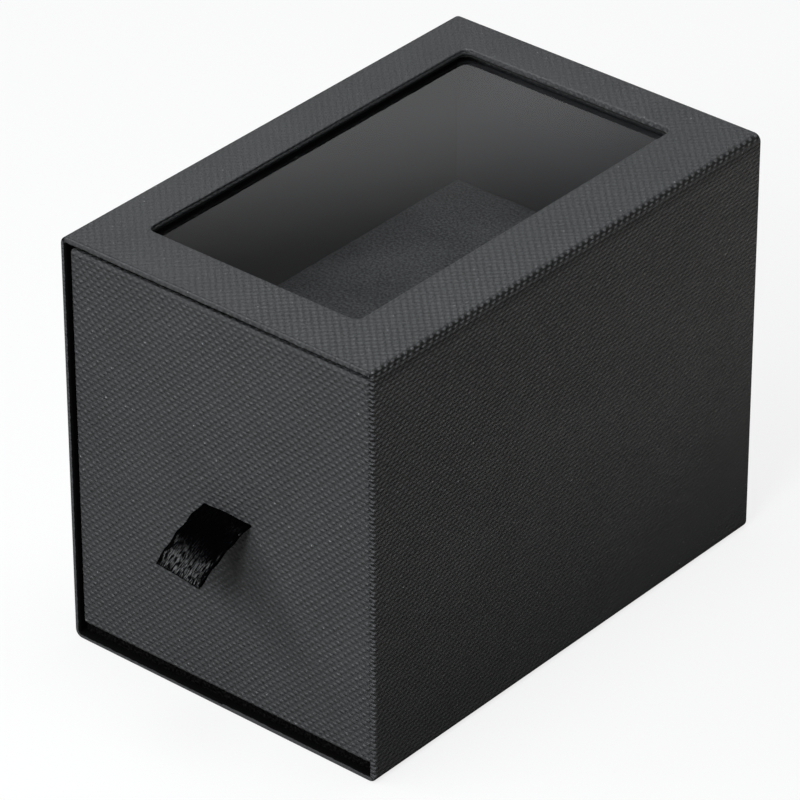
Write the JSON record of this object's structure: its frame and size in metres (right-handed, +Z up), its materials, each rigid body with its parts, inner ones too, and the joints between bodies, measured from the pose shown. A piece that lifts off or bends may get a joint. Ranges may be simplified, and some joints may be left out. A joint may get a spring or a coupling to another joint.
{
  "type": "sliding drawer gift box",
  "caption": "Rigid card gift box: a paper-wrapped sleeve with a film window in its top, and a deep drawer that slides out of it by a ribbon loop.",
  "frame": {"origin": "centre of the base, on the surface the box stands on", "axes": "+X to the right, the drawer comes out towards -Y, +Z up"},
  "size_m": [0.092, 0.1554, 0.1083],
  "materials": {
    "embossed_paper": "fine woven emboss, dark grey, semi-matte",
    "greyboard": "raw grey board",
    "stay_tape": "brown gummed paper",
    "black_lining": "matte black paper and card",
    "clear_film": "clear gloss film",
    "clear_tape": "double-sided tape",
    "satin_ribbon": "black satin",
    "black_foam": "black foam, grainy"
  },
  "bodies": {
    "sleeve": {"sleeve_top_board": "greyboard", "sleeve_bottom_board": "greyboard", "sleeve_left_board": "greyboard", "sleeve_right_board": "greyboard", "sleeve_back_board": "greyboard", "sleeve_tape_top_right": "stay_tape", "sleeve_tape_top_left": "stay_tape", "sleeve_tape_bottom_left": "stay_tape", "sleeve_tape_bottom_right": "stay_tape", "sleeve_wrap": "embossed_paper", "sleeve_back_paper": "embossed_paper", "sleeve_base_paper": "embossed_paper", "window_lining": "black_lining", "window_tape": "clear_tape", "window_film": "clear_film"},
    "drawer": {"drawer_front_board": "greyboard", "drawer_back_board": "greyboard", "drawer_left_board": "greyboard", "drawer_right_board": "greyboard", "drawer_base_board": "greyboard", "drawer_tape_back_right": "stay_tape", "drawer_tape_back_left": "stay_tape", "drawer_tape_front_left": "stay_tape", "drawer_tape_front_right": "stay_tape", "drawer_wrap": "embossed_paper", "drawer_base_paper": "black_lining", "drawer_wall_lining": "black_lining", "drawer_floor_lining": "black_lining", "foam_insert": "black_foam", "ribbon_pull": "satin_ribbon", "ribbon_patch": "black_lining"}
  },
  "joints": [
    {"name": "drawer_slide", "type": "slide", "parent": "sleeve", "child": "drawer", "axis": [0, -1, 0], "range_m": [0, 0.13]}
  ]
}
